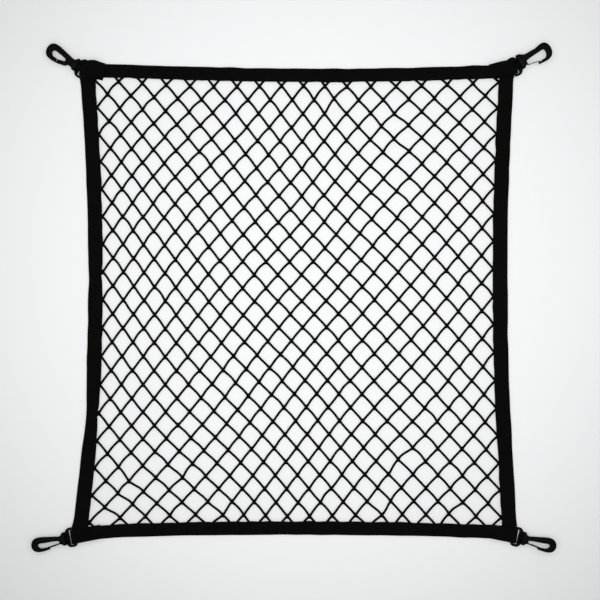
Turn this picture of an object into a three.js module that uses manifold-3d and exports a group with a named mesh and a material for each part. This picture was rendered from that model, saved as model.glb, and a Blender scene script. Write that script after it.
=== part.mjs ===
// Cargo net, lying flat and face up: a knotless diamond mesh, four bands of folded webbing that bind
// its edges, and at each corner a swivel snap hook held by a short webbing loop.
// Millimetres. +X right, +Y to the far side, +Z up from the surface that it lies on.
import * as THREE from "three";
import { mergeVertices } from "three/addons/utils/BufferGeometryUtils.js";
import Module from "manifold-3d";

const wasm = await Module();
wasm.setup();

// ---- Driving dimensions ----
const GAP = 0.3;             // clearance between neighbouring pieces
const TAPE = 0.9;            // one layer of a band's webbing
const FOLD_ROOM = 2.7;       // space between a band's two layers, where the net's edge lies
const SIDE_WIDTH = 19.5;     // left and right bands
const END_WIDTH = 17.7;      // top and bottom bands
const CORNER_LIFT = 1.4;     // the bands' height over the loops' lower layers
const END_RISE = [252, 264]; // the end bands rise to it here, from their middle
const CLOSING = 9;           // length over which a side band closes and rises into an end band
const NET_THICKNESS = 2.1;
const BAR_WIDTH = 3.2;       // cord of the mesh as it shows from above
const HALF_PITCH_X = 15.7;   // half a mesh across
const HALF_PITCH_Y = 17.8;   // half a mesh lengthwise
const HALF_ROWS = 17;        // half pitches from the middle to each border, both ways
const CELL = 2;              // meshes that one cut opening spans, each way
const TUCK = 8;              // depth of the net's edge inside the bands
const LAP = 3;               // the openings reach this far into the bands
const SMALLEST_OPENING = 60; // square millimetres
const NET_SLOPE = 30;        // the net comes down to the surface over this distance
const AXIS_Z = 4;            // height of the swivel axes
const LOOP_WIDTH = 19;
const LOOP_TAPE = 1.1;
const LOOP_RETURN = 14;      // length of a loop's lower layer

// Centrelines of the bands: how far each lies from the middle, at each station along it.
const STATION_PITCH = 75;
const FIRST_STATION = -300;
const CENTRE = {
  left: [-285.0, -276.3, -269.6, -267.0, -265.8, -265.8, -267.6, -271.2, -276.5],
  right: [288.2, 284.0, 280.0, 277.4, 276.5, 276.4, 277.8, 280.7, 285.0],
  bottom: [-317.0, -311.8, -309.6, -308.8, -308.5, -309.0, -309.9, -312.0, -314.2],
  top: [305.0, 303.3, 300.8, 298.9, 298.0, 297.8, 298.9, 301.1, 304.0],
};

// How far the mesh is pulled from an even spread. Rows run from the bottom band to the top one and
// columns from the left band to the right one, a quarter of the net apart.
const PULL_RIGHT = [
  [0, 14, 5, -3, 0],
  [0, -4.5, -3.5, -6, 0],
  [0, -11, -10.5, -4.5, 0],
  [0, -10.5, -10, -9, 0],
  [0, 0, -8, -12.5, 0],
];
const PULL_UP = [
  [-2, 1, -2, 2, 3],
  [-3.5, -4, 1, 1.5, 2],
  [2, -0.5, 1, 3.5, 7],
  [5, 4, -0.5, 4.5, 8],
  [5, 1.5, 3, 2, 6],
];

// Corners. x, y and turn place the foot of the hook and its axis, nose is the depth of the hook's
// mouth, flip turns the hook over, and end is where the loop's upper layer stops on the bands.
const CORNERS = [
  { name: "top_left", x: -296.1, y: 315.0, turn: 146.8, flip: true, nose: 11.3,
    end: { x: -254.6, y: 303.0, turn: 168 } },
  { name: "top_right", x: 308.9, y: 317.25, turn: 31, flip: false, nose: 13.5,
    end: { x: 260.4, y: 300.3, turn: 12 } },
  { name: "bottom_left", x: -313.15, y: -323.9, turn: 192, flip: true, nose: 9.3,
    end: { x: -258.2, y: -312.8, turn: 185 } },
  { name: "bottom_right", x: 313.4, y: -323.65, turn: -13.7, flip: false, nose: 9.3,
    end: { x: 264.8, y: -312.5, turn: -7 } },
];

// Strap eye and hook, measured along the swivel axis from the foot of the hook.
const EYE = { back: -22.5, slotBack: -18.6, slotFront: -14, front: -8, halfWidth: 13.2,
  shoulder: 8.7, slotHalf: 9.9, thickness: 3.6, bevel: 0.6 };
const BOSS = { radius: 4, bore: 2.3, cavity: 3.1, cavityBack: -12.7, cavityFront: -9.5 };
const SHANK = { radius: 2, head: 2.8, headBack: -12.4, headFront: -9.8 };
const HOOK = { back: -7.7, halfBase: 7.7, thickness: 8, tip: 38, bight: 31.4, bevel: 0.6 };
const GATE = { pivotY: -4, barrel: 1.2, pocket: 1.5, thickness: 1.4, width: 5.4, reach: 18.6,
  overNose: 3.4, open: 10 };
const BAND_CUT = -23;        // the bands' corners are cut off square to the eye here

const COLOUR = {
  net: { color: 0x131313, roughness: 0.9, metalness: 0 },
  webbing: { color: 0x20211f, roughness: 0.95, metalness: 0 },
  plastic: { color: 0x0d0d0e, roughness: 0.35, metalness: 0 },
};

// ---- Helpers ----
const radians = THREE.MathUtils.degToRad;
const { clamp, lerp, smoothstep } = THREE.MathUtils;

// A smooth curve through evenly spaced values, one unit of place apart.
function through(values, place) {
  const last = values.length - 1;
  const cell = clamp(Math.floor(place), 0, last - 1);
  const t = place - cell;
  const slope = (i) => (values[Math.min(i + 1, last)] - values[Math.max(i - 1, 0)])
    / (Math.min(i + 1, last) - Math.max(i - 1, 0));
  const [from, to] = [values[cell], values[cell + 1]];
  if (t < 0) return from + slope(cell) * t;
  if (t > 1) return to + slope(cell + 1) * (t - 1);
  const bend = t * t * (3 - 2 * t);
  return lerp(from, to, bend) + slope(cell) * t * (1 - t) ** 2 - slope(cell + 1) * t * t * (1 - t);
}

const centre = (side, along) => through(CENTRE[side], (along - FIRST_STATION) / STATION_PITCH);

function weld(geometry) {
  geometry.deleteAttribute("normal");
  geometry.deleteAttribute("uv");
  return mergeVertices(geometry, 1e-4);
}

// Moves every vertex of a geometry to where place(x, y, z) puts it and turns its faces outwards.
function lay(geometry, place) {
  const laid = weld(geometry);
  const position = laid.attributes.position;
  for (let i = 0; i < position.count; i += 1) {
    position.setXYZ(i, ...place(position.getX(i), position.getY(i), position.getZ(i)));
  }
  if (volume(laid) < 0) flipFaces(laid);
  return laid;
}

function volume(geometry) {
  const [a, b, c] = [new THREE.Vector3(), new THREE.Vector3(), new THREE.Vector3()];
  const { index, attributes: { position } } = geometry;
  let total = 0;
  for (let i = 0; i < index.count; i += 3) {
    a.fromBufferAttribute(position, index.getX(i));
    b.fromBufferAttribute(position, index.getX(i + 1));
    c.fromBufferAttribute(position, index.getX(i + 2));
    total += a.dot(b.cross(c)) / 6;
  }
  return total;
}

function flipFaces(geometry) {
  const index = geometry.index;
  for (let i = 0; i < index.count; i += 3) {
    const [first, third] = [index.getX(i), index.getX(i + 2)];
    index.setX(i, third);
    index.setX(i + 2, first);
  }
}

function solid(geometry) {
  const welded = weld(geometry);
  return new wasm.Manifold(new wasm.Mesh({
    numProp: 3,
    vertProperties: new Float32Array(welded.attributes.position.array),
    triVerts: new Uint32Array(welded.index.array),
  }));
}

function surface(body) {
  const mesh = body.getMesh();
  const geometry = new THREE.BufferGeometry();
  geometry.setAttribute("position", new THREE.BufferAttribute(mesh.vertProperties, 3));
  geometry.setIndex(new THREE.BufferAttribute(mesh.triVerts, 1));
  return geometry;
}

function piece(name, geometry, look) {
  geometry.computeVertexNormals();
  const mesh = new THREE.Mesh(geometry, new THREE.MeshStandardMaterial(look));
  mesh.name = name;
  return mesh;
}

// A closed outline extruded to a thickness about Z = 0, its edges bevelled inwards.
function slab(outline, thickness, bevel = 0, curveSegments = 3) {
  const geometry = new THREE.ExtrudeGeometry(outline, {
    depth: thickness - 2 * bevel, curveSegments, bevelEnabled: bevel > 0,
    bevelThickness: bevel, bevelSize: bevel, bevelOffset: -bevel, bevelSegments: 1,
  });
  return geometry.translate(0, 0, bevel - thickness / 2);
}

function rod(radius, from, to) {
  const sides = 16;
  const geometry = new THREE.CylinderGeometry(radius, radius, to - from, sides);
  return solid(geometry.rotateZ(Math.PI / 2).translate((from + to) / 2, 0, 0));
}

const points = (list) => list.map(([x, y]) => new THREE.Vector2(x, y));

// ---- Bands ----
// Section of a folded band: across it from the fold to the open edge, and through it in layers,
// where 1 is the inside and 2 the outside of the upper layer, and -1 and -2 those of the lower one.
function bandSection(width) {
  const half = width / 2;
  return new THREE.Shape(points([
    [half, -2], [half, -1], [-half + TAPE, -1], [-half + TAPE, 1], [half, 1], [half, 2],
    [-half + TAPE, 2], [-half, 1], [-half, -1], [-half + TAPE, -2],
  ]));
}

// One band, swept along its stations. state(along) gives its height and the room in its fold.
function band(side, width, stations, state) {
  const inward = { left: 1, bottom: 1, right: -1, top: -1 }[side];
  const upright = side === "left" || side === "right";
  const last = stations.length - 1;
  const straight = new THREE.ExtrudeGeometry(bandSection(width), {
    depth: last, steps: last, bevelEnabled: false,
  });
  return lay(straight, (across, layer, index) => {
    const along = stations[Math.round(index)];
    const { lift, room } = state(along);
    const out = centre(side, along) + inward * across;
    const depth = room / 2 + (Math.abs(layer) - 1) * TAPE;
    const z = lift + TAPE + FOLD_ROOM / 2 + Math.sign(layer) * depth;
    return upright ? [out, along, z] : [along, out, z];
  });
}

const RUN = [-200, -150, -100, -50, 0, 50, 100, 150, 200];

// A side band's ends close flat and lie inside the folds of the top and bottom bands.
function sideBand(side) {
  const low = centre("bottom", CENTRE[side][0]);
  const high = centre("top", CENTRE[side].at(-1));
  const [inside, mouth] = [END_WIDTH / 4, END_WIDTH / 2 + 1];
  const stations = [low - inside, low + mouth, low + mouth + CLOSING, -245, ...RUN, 245,
    high - mouth - CLOSING, high - mouth, high + inside];
  const closed = (along) => along <= low + mouth || along >= high - mouth;
  return band(side, SIDE_WIDTH, stations, (along) => (closed(along)
    ? { lift: CORNER_LIFT, room: GAP } : { lift: 0, room: FOLD_ROOM }));
}

// The end bands keep their folds open to the ends, and rise over the loops' lower layers.
function endBand(side) {
  const [from, to] = END_RISE;
  const stations = [-298, -280, -to, -from, -225, ...RUN, 225, from, to, 280, 298];
  const raised = (along) => Math.abs(along) >= to;
  return band(side, END_WIDTH, stations, (along) => (
    { lift: raised(along) ? CORNER_LIFT : 0, room: FOLD_ROOM }));
}

// Cuts a band's ends off square behind the strap eyes.
function trimmed(geometry) {
  const [length, breadth, height] = [60, 80, 40];
  let body = solid(geometry);
  for (const { x, y, turn } of CORNERS) {
    const cutter = new THREE.BoxGeometry(length, breadth, height);
    cutter.translate(BAND_CUT + length / 2, 0, 0);
    cutter.rotateZ(radians(turn)).translate(x, y, 0);
    body = body.subtract(solid(cutter));
  }
  return surface(body);
}

// ---- Net ----
const NET_HALF_X = HALF_ROWS * HALF_PITCH_X;
const NET_HALF_Y = HALF_ROWS * HALF_PITCH_Y;
const EDGE_Y = NET_HALF_Y - END_WIDTH / 2;   // the end bands' inner edges on the even mesh

// Takes a point of the even mesh to where the pulled mesh has it.
function pull([evenX, evenY]) {
  const [p, q] = [evenX / NET_HALF_X, evenY / NET_HALF_Y];
  const shift = (table) => through(table.map((row) => through(row, 2 * p + 2)), 2 * q + 2);
  const left = centre("left", evenY) + SIDE_WIDTH / 2;
  const right = centre("right", evenY) - SIDE_WIDTH / 2;
  const x = lerp(left, right, (p + 1) / 2) + shift(PULL_RIGHT);
  const y = lerp(centre("bottom", x), centre("top", x), (q + 1) / 2) + shift(PULL_UP);
  return [x, y];
}

// Height of the net's underside: inside the bands' folds at its edges, on the surface elsewhere.
function netHeight(x, y) {
  const [halfSide, halfEnd] = [SIDE_WIDTH / 2, END_WIDTH / 2];
  const insideX = Math.min(x - centre("left", y), centre("right", y) - x) - halfSide;
  const insideY = Math.min(y - centre("bottom", x), centre("top", x) - y) - halfEnd;
  return (TAPE + GAP) * (1 - smoothstep(Math.min(insideX, insideY), 0, NET_SLOPE));
}

// Keeps the part of a convex outline on the inner side of a line a x + b y = c.
function clipped(outline, [a, b, c]) {
  const side = ([x, y]) => c - a * x - b * y;
  const kept = [];
  outline.forEach((point, i) => {
    const next = outline[(i + 1) % outline.length];
    const [here, there] = [side(point), side(next)];
    if (here >= 0) kept.push(point);
    if (here * there < 0) {
      const t = here / (here - there);
      kept.push([lerp(point[0], next[0], t), lerp(point[1], next[1], t)]);
    }
  });
  return kept;
}

const area = (outline) => Math.abs(THREE.ShapeUtils.area(points(outline)));

// The net's corners are cut off on a slant, so that they stay out of the folded corners. One corner
// of its outline, from the side band's fold to the end band's.
const SLANT = { x: 24, y: 16, clear: 1 };
const CORNER_STEPS = [
  [NET_HALF_X + TUCK, EDGE_Y - SLANT.y],
  [NET_HALF_X - SLANT.clear, EDGE_Y - SLANT.y],
  [NET_HALF_X - SLANT.x, EDGE_Y - SLANT.clear],
  [NET_HALF_X - SLANT.x, EDGE_Y + TUCK],
];

// Lines that bound the openings: along the four bands and the four slanted corners.
function openingLimits() {
  const [reachX, reachY] = [NET_HALF_X + LAP, EDGE_Y + LAP];
  const limits = [[1, 0, reachX], [-1, 0, reachX], [0, 1, reachY], [0, -1, reachY]];
  const [from, to] = points(CORNER_STEPS.slice(1, 3));
  const normal = new THREE.Vector2(from.y - to.y, to.x - from.x).normalize().negate();
  const reach = normal.dot(from) - BAR_WIDTH;
  for (const [sx, sy] of [[1, 1], [1, -1], [-1, 1], [-1, -1]]) {
    limits.push([sx * normal.x, sy * normal.y, reach]);
  }
  return limits;
}

// One opening about (0, 0): a diamond inside the bars, its corners blunt where the cords join.
function diamond() {
  const [a, b] = [CELL * HALF_PITCH_X, CELL * HALF_PITCH_Y];
  const inset = 1 - (BAR_WIDTH / 2) * Math.hypot(a, b) / (a * b);
  const [halfX, halfY] = [a * inset, b * inset];
  const blunt = 0.05;
  return [[halfX * (1 - blunt), halfY * blunt], [halfX * blunt, halfY * (1 - blunt)],
    [-halfX * blunt, halfY * (1 - blunt)], [-halfX * (1 - blunt), halfY * blunt],
    [-halfX * (1 - blunt), -halfY * blunt], [-halfX * blunt, -halfY * (1 - blunt)],
    [halfX * blunt, -halfY * (1 - blunt)], [halfX * (1 - blunt), -halfY * blunt]];
}

function netOutline() {
  const reversed = [...CORNER_STEPS].reverse();
  const corners = [
    ...CORNER_STEPS,
    ...reversed.map(([x, y]) => [-x, y]),
    ...CORNER_STEPS.map(([x, y]) => [-x, -y]),
    ...reversed.map(([x, y]) => [x, -y]),
  ];
  const step = 2 * HALF_PITCH_X;
  return corners.flatMap(([fromX, fromY], i) => {
    const [toX, toY] = corners[(i + 1) % corners.length];
    const count = Math.ceil(Math.hypot(toX - fromX, toY - fromY) / step);
    const between = (k) => [lerp(fromX, toX, k / count), lerp(fromY, toY, k / count)];
    return Array.from({ length: count }, (_, k) => between(k));
  });
}

// The mesh with every second strand in both directions, cut out of one sheet.
function net() {
  const outline = new THREE.Shape(points(netOutline().map(pull)));
  const limits = openingLimits();
  const rows = HALF_ROWS + CELL;
  for (let row = -rows + rows % 2; row <= rows; row += CELL) {
    for (let column = -rows + rows % 2; column <= rows; column += CELL) {
      if ((row - column) % (2 * CELL) === 0) continue;
      const [x, y] = [(column + 1) * HALF_PITCH_X, row * HALF_PITCH_Y];
      const whole = diamond().map(([dx, dy]) => [x + dx, y + dy]);
      const hole = limits.reduce(clipped, whole);
      if (hole.length > 2 && area(hole) > SMALLEST_OPENING) {
        outline.holes.push(new THREE.Path(points(hole.map(pull))));
      }
    }
  }
  const sheet = new THREE.ExtrudeGeometry(outline, { depth: NET_THICKNESS, bevelEnabled: false });
  return lay(sheet, (x, y, z) => [x, y, netHeight(x, y) + z]);
}

// ---- Corner loop ----
// The strap's path seen from its edge: along it from the eye's rear bar (0) to its end, and up.
function loopSection(upper) {
  const top = AXIS_Z + EYE.thickness / 2 + GAP + 0.1;
  const low = AXIS_Z - EYE.thickness / 2 - GAP - 0.1;
  const middle = AXIS_Z;
  const t = LOOP_TAPE;
  return new THREE.Shape(points([
    [LOOP_RETURN, 0], [LOOP_RETURN, t], [2.3, t], [0.6, low], [-1.4, low], [-2.25, middle - 1.2],
    [-2.35, middle], [-2.25, middle + 1.2], [-1.4, top - 0.05], [0, top], [upper, top],
    [upper, top + t], [0, top + t], [-1.8, top + t - 0.1], [-3.2, middle + 1.9], [-3.65, middle],
    [-3.2, middle - 1.9], [-1.8, low - t + 0.1], [0.6, low - t], [2.3, 0],
  ]));
}

// A loop of webbing around the eye's rear bar, its layers running in over and under the corner.
function loop({ x, y, turn, end }) {
  const axis = new THREE.Vector2(Math.cos(radians(turn)), Math.sin(radians(turn)));
  const across = new THREE.Vector2(-axis.y, axis.x);
  const bar = new THREE.Vector2(x, y).addScaledVector(axis, (EYE.back + EYE.slotBack) / 2);
  const stop = new THREE.Vector2(end.x, end.y);
  const endAcross = new THREE.Vector2(-Math.sin(radians(end.turn)), Math.cos(radians(end.turn)));
  const length = bar.distanceTo(stop);
  const section = new THREE.ExtrudeGeometry(loopSection(length), {
    depth: LOOP_WIDTH, steps: 2, bevelEnabled: false,
  });
  return lay(section, (along, up, wide) => {
    const offset = wide - LOOP_WIDTH / 2;
    const from = bar.clone().addScaledVector(across, offset);
    if (along <= 0) from.addScaledVector(axis, -along);
    const to = stop.clone().addScaledVector(endAcross, offset);
    from.lerp(to, clamp(along / length, 0, 1));
    return [from.x, from.y, up];
  });
}

// ---- Strap eye ----
function eyeOutline() {
  const { back, front, halfWidth, shoulder, slotBack, slotFront, slotHalf } = EYE;
  const corner = 4.5;
  const outline = new THREE.Shape();
  outline.moveTo(front, -shoulder);
  outline.lineTo(front, shoulder);
  outline.lineTo(front - 3.6, halfWidth - 0.8);
  outline.lineTo(front - 6, halfWidth);
  outline.lineTo(back + corner, halfWidth);
  outline.absarc(back + corner, halfWidth - corner, corner, Math.PI / 2, Math.PI, false);
  outline.absarc(back + corner, -halfWidth + corner, corner, Math.PI, 1.5 * Math.PI, false);
  outline.lineTo(front - 6, -halfWidth);
  outline.lineTo(front - 3.6, -halfWidth + 0.8);
  outline.closePath();
  const nip = 0.5;
  outline.holes.push(new THREE.Path(points([
    [slotFront, -slotHalf + nip], [slotFront - nip, -slotHalf], [slotBack + nip, -slotHalf],
    [slotBack, -slotHalf + nip], [slotBack, slotHalf - nip], [slotBack + nip, slotHalf],
    [slotFront - nip, slotHalf], [slotFront, slotHalf - nip],
  ])));
  return outline;
}

// The eye with its slot for the loop, and a round boss that holds the hook's shank.
function eye() {
  const ring = solid(slab(eyeOutline(), EYE.thickness, EYE.bevel, 4));
  const boss = rod(BOSS.radius, EYE.slotFront, EYE.front);
  const bore = rod(BOSS.bore, BOSS.cavityFront, EYE.front + 1);
  const cavity = rod(BOSS.cavity, BOSS.cavityBack, BOSS.cavityFront);
  return surface(ring.add(boss).subtract(bore.add(cavity)));
}

// ---- Hook and gate ----
function hookOutline(nose) {
  const { back, halfBase, tip, bight } = HOOK;
  const outline = new THREE.Shape();
  outline.moveTo(back, -halfBase + 0.7);
  outline.lineTo(back, halfBase - 0.7);
  outline.lineTo(back + 0.7, halfBase);
  outline.lineTo(back + 3.3, halfBase);
  outline.lineTo(-0.8, 3.8);
  outline.splineThru(points([[13, 5.1], [27, 7.2], [33.8, 6], [37.2, 2.6], [tip, -1.5],
    [36.2, -nose * 0.62], [32, -nose + 0.5], [27, -nose]]));
  outline.lineTo(21.8, -nose);
  outline.lineTo(15.6, -nose + 0.6);
  outline.lineTo(15.9, -nose + 2.5);
  outline.lineTo(21.5, -nose + 2.5);
  outline.splineThru(points([[26, -nose + 2.8], [29.8, -nose * 0.56], [bight, -3.2]]));
  outline.lineTo(bight, -0.2);
  outline.splineThru(points([[30, 1.6], [27, 2], [18, 1.2]]));
  outline.lineTo(1.8, -0.5);
  outline.lineTo(1.1, -1.2);
  outline.lineTo(1.1, -5.6);
  outline.lineTo(0.4, -6.4);
  outline.lineTo(-1.8, -6.6);
  outline.lineTo(back + 3.3, -halfBase);
  outline.lineTo(back + 0.7, -halfBase);
  outline.closePath();
  return outline;
}

const gateAngle = (nose) => Math.atan2(GATE.overNose - nose - GATE.pivotY, GATE.reach);

// The recess that the gate's root turns in, open towards the mouth of the hook.
function gatePocket(nose, swing) {
  const length = 6;
  const edge = (angle, offset) => {
    const along = new THREE.Vector2(length, 0).rotateAround(new THREE.Vector2(), angle);
    const from = new THREE.Vector2(0, offset).rotateAround(new THREE.Vector2(), angle);
    return [from, from.clone().add(along)];
  };
  const clear = GATE.thickness / 2 + GAP;
  const [lowFrom, lowTo] = edge(gateAngle(nose), -clear);
  const [highFrom, highTo] = edge(gateAngle(nose) + swing, clear);
  const mouth = new THREE.Shape([lowFrom, lowTo, highTo, highFrom]);
  const width = GATE.width + 2 * GAP;
  const barrel = new THREE.CylinderGeometry(GATE.pocket, GATE.pocket, width, 16).rotateX(Math.PI / 2);
  return solid(slab(mouth, width)).add(solid(barrel)).translate([0, GATE.pivotY, 0]);
}

// How far each gate opens before it meets the back of its hook.
const gateSwing = (nose) => radians(GATE.open) - gateAngle(nose);

function hook(nose) {
  const body = solid(slab(hookOutline(nose), HOOK.thickness, HOOK.bevel));
  const shank = rod(SHANK.radius, SHANK.headFront, HOOK.back + 1);
  const head = rod(SHANK.head, SHANK.headBack, SHANK.headFront);
  return surface(body.subtract(gatePocket(nose, gateSwing(nose))).add(shank.add(head)));
}

// The spring tongue that closes the hook, from its round root to its tip behind the nose.
function gate(nose) {
  const { thickness, barrel, width, reach, pivotY } = GATE;
  const leaf = new THREE.Shape(points([
    [0, -thickness / 2], [reach, -thickness / 2], [reach + 0.6, 0], [reach, thickness / 2],
    [0, thickness / 2],
  ]));
  const root = new THREE.CylinderGeometry(barrel, barrel, width, 16).rotateX(Math.PI / 2);
  const blade = slab(leaf, width).rotateZ(gateAngle(nose));
  return surface(solid(blade).add(solid(root)).translate([0, pivotY, 0]));
}

// ---- Assembly ----
const cargoNet = new THREE.Group();
cargoNet.add(piece("net", net(), COLOUR.net));
for (const side of ["left", "right"]) {
  cargoNet.add(piece(`band_${side}`, trimmed(sideBand(side)), COLOUR.webbing));
}
for (const side of ["top", "bottom"]) {
  cargoNet.add(piece(`band_${side}`, trimmed(endBand(side)), COLOUR.webbing));
}
for (const corner of CORNERS) {
  cargoNet.add(piece(`loop_${corner.name}`, loop(corner), COLOUR.webbing));
  const fitting = new THREE.Group();
  fitting.position.set(corner.x, corner.y, AXIS_Z);
  fitting.rotation.z = radians(corner.turn);
  fitting.add(piece(`eye_${corner.name}`, eye(), COLOUR.plastic));
  const swivel = new THREE.Group();
  swivel.rotation.x = corner.flip ? Math.PI : 0;
  swivel.add(piece(`hook_${corner.name}`, hook(corner.nose), COLOUR.plastic));
  swivel.add(piece(`gate_${corner.name}`, gate(corner.nose), COLOUR.plastic));
  fitting.add(swivel);
  cargoNet.add(fitting);
}

export default cargoNet;
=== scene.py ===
"""Cargo net, dressed: the full knotless mesh in round cord, folded webbing bands with their stitching,
webbing loops, and moulded swivel hooks with strap eyes and spring tongues.

Lengths are millimetres in the tables and helpers, and metres in the properties and meshes."""

import math
import random

import bmesh
import bpy
from bpy.props import FloatProperty, FloatVectorProperty, IntProperty, PointerProperty
from mathutils import Matrix, Vector


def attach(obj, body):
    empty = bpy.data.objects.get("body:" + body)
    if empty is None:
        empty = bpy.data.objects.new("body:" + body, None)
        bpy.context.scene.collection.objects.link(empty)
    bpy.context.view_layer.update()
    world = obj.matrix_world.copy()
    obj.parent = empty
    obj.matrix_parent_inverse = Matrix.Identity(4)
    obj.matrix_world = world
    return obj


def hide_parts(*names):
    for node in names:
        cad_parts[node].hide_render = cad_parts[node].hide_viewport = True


bl_info = {
    "name": "Cargo Net",
    "version": (1, 0, 0),
    "blender": (4, 5, 0),
    "location": "View3D > Sidebar > Cargo Net",
    "description": "Builds a cargo net of knotless cord with webbing bands and swivel hooks",
    "category": "Add Mesh",
}

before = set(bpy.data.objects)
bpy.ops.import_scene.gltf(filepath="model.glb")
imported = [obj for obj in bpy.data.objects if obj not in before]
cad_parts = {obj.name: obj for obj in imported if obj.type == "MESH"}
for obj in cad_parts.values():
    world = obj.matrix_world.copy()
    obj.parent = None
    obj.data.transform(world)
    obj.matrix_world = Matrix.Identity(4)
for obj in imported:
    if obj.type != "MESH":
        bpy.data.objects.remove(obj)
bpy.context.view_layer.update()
MM = 0.001

# Centrelines of the bands: how far each lies from the middle, at each station along it.
STATION_PITCH = 75
FIRST_STATION = -300
CENTRE = {
    "left": [-285.0, -276.3, -269.6, -267.0, -265.8, -265.8, -267.6, -271.2, -276.5],
    "right": [288.2, 284.0, 280.0, 277.4, 276.5, 276.4, 277.8, 280.7, 285.0],
    "bottom": [-317.0, -311.8, -309.6, -308.8, -308.5, -309.0, -309.9, -312.0, -314.2],
    "top": [305.0, 303.3, 300.8, 298.9, 298.0, 297.8, 298.9, 301.1, 304.0],
}
INWARD = {"left": 1, "bottom": 1, "right": -1, "top": -1}

# How far the mesh is pulled from an even spread, in rows from the bottom band to the top one. Each
# row has even steps from the left band to the right one. The numbers are a fitting script's, rounded
# to half a millimetre, and six of PULL_RIGHT's were then moved by as much.
PULL_RIGHT = [
    [0, 12, 14, 5, -0.5, -3.5, 0],
    [-2, -5, -2, -3, -7, -1, 1.5],
    [0, -8, -12, -10.5, -6, -1.5, 0.5],
    [0, -8.5, -9, -9.5, -11.5, -3, 1.5],
    [-1, 0.5, 0.5, -5.5, -13, -8, 0],
]
PULL_UP = [
    [-4.5, 2, -2.5, 2, 1],
    [-4.5, -4.5, 1, 1, 1.5],
    [2, -1, 0.5, 3, 6.5],
    [5, 3.5, -1.5, 4.5, 8.5],
    [5, 0, 4, 1.5, 3],
]
# Single joints that sit askew: where they are in the even mesh, how far they are tugged right and up,
# and how far around them the tug is felt. They were picked among the fitted mesh's misses and rounded.
TUGS = [
    (-226, -285, 5.5, 3.0, 24), (-110, -285, 4.0, -1.0, 20), (110, -285, 4.5, -1.0, 20),
    (204, -285, -2.5, 2.5, 18), (-220, -231, -2.5, -3.0, 18), (-157, -231, 2.5, -1.0, 16),
    (134, 222, -4.0, -0.5, 18), (141, -214, -3.5, 2.5, 16), (141, 249, -2.0, -1.5, 12),
    (63, 267, -2.0, 2.0, 12),
]

HALF_PITCH_X = 15.7    # half a mesh across
HALF_PITCH_Y = 17.8    # half a mesh lengthwise
HALF_ROWS = 17         # half pitches from the middle to each border
SIDE_WIDTH = 19.5      # left and right bands
END_WIDTH = 17.7       # top and bottom bands
END_REACH = 298        # half an end band's length, before its corners are cut off
UNDER_END = END_WIDTH * 0.75   # length of a side band that lies within an end band
CORNER_LIFT = 1.4      # the bands' height over the loops' lower layers
CLOSING = 9            # length over which a side band closes and rises into an end band
END_RISE = (252, 264)  # the end bands rise to the corner lift here
BAND_CUT = -23         # the end bands' corners are cut off here, along the eye's axis and square to it
SIDE_CUT = (-21, 10.8)       # the side bands' cuts: along the eye's axis and beside it
SIDE_SLANT = (0.8, 0.6)      # and which way they face: along the axis and towards it
AXIS_Z = 4             # height of the swivel axes
LOOP_WIDTH = 19

# Corners: foot of the hook, direction of its axis in degrees, the hook's side; the depth of its
# mouth, the nose's wall, how far the cheeks over the tongue's root reach and how much the shoulder
# stands up; the tongue's inner half thickness, its outer ridge and how far its root hangs off the
# hinge; then the middle and direction of the loop's fold, of the end of its upper layer and of the
# end of its under layer, and how far the upper layer bulges sideways.
CORNERS = {
    "top_left": dict(foot=(-296.1, 315.0), turn=146.8, flip=True, nose=12.9, wall=5.6, web=9.6, shoulder=0,
                     leaf=2, ridge=2.7, drop=0, fold=(-285.3, 307.5), fold_turn=165,
                     end=(-253.6, 303.6), end_turn=168, under=(-251, 299.4), under_turn=160, bulge=3.2),
    "top_right": dict(foot=(308.9, 317.25), turn=31, flip=False, nose=15, wall=4, web=1.6, shoulder=3.2,
                      leaf=0.4, ridge=-0.3, drop=2.2, fold=(297.5, 310.2), fold_turn=19,
                      end=(262.4, 302.3), end_turn=11, under=(258.8, 299.2), under_turn=22, bulge=0.8),
    "bottom_left": dict(foot=(-313.15, -323.9), turn=192, flip=True, nose=10.5, wall=4, web=1, shoulder=0,
                        leaf=0.7, ridge=0.4, drop=0.9, fold=(-298.5, -320.5), fold_turn=189.5,
                        end=(-258.2, -312.8), end_turn=185, under=(-262, -313.6), under_turn=186,
                        bulge=0),
    "bottom_right": dict(foot=(313.4, -323.65), turn=-13.7, flip=False, nose=10.5, wall=4, web=1, shoulder=0,
                         leaf=0.7, ridge=0.4, drop=0.9, fold=(298.9, -318.8), fold_turn=-9,
                         end=(263.4, -312.5), end_turn=-7, under=(266, -313.6), under_turn=-7,
                         bulge=0),
}
# How far the side bands flare outwards at their ends, where that starts and over what length.
FLARE = {("left", -1): 3.0, ("left", 1): 1.4, ("right", -1): 0.5, ("right", 1): 0.2}
FLARE_START = 30
FLARE_LENGTH = 28


# ---- Properties ----
class MeshProperties(bpy.types.PropertyGroup):
    cord: FloatProperty(name="Cord", description="Diameter of the mesh's cord",
                        default=3.1 * MM, min=1 * MM, max=6 * MM, unit="LENGTH", precision=5)
    lean: FloatProperty(name="Lean", description="Angle off the net's length at which cords meet a joint",
                        default=math.radians(41), min=0, max=math.radians(80), subtype="ANGLE")
    arch: FloatProperty(name="Arch", description="How much flatter cords leave a joint than they reach it",
                        default=math.radians(4.5), min=0, max=math.radians(30), subtype="ANGLE")
    bend: FloatProperty(name="Bend", description="How far a cord holds that angle before it turns",
                        default=1.35, min=0, max=2, subtype="FACTOR")
    joint: FloatProperty(name="Joint", description="Length of a joint where four cords meet",
                         default=7 * MM, min=0, max=20 * MM, unit="LENGTH", precision=5)
    seed: IntProperty(name="Seed", description="Seed of the cords' small wanderings", default=7)
    colour: FloatVectorProperty(name="Cord colour", description="Colour of the cord", size=3,
                                default=(0.002, 0.002, 0.0022), min=0, max=1, subtype="COLOR")


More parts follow.
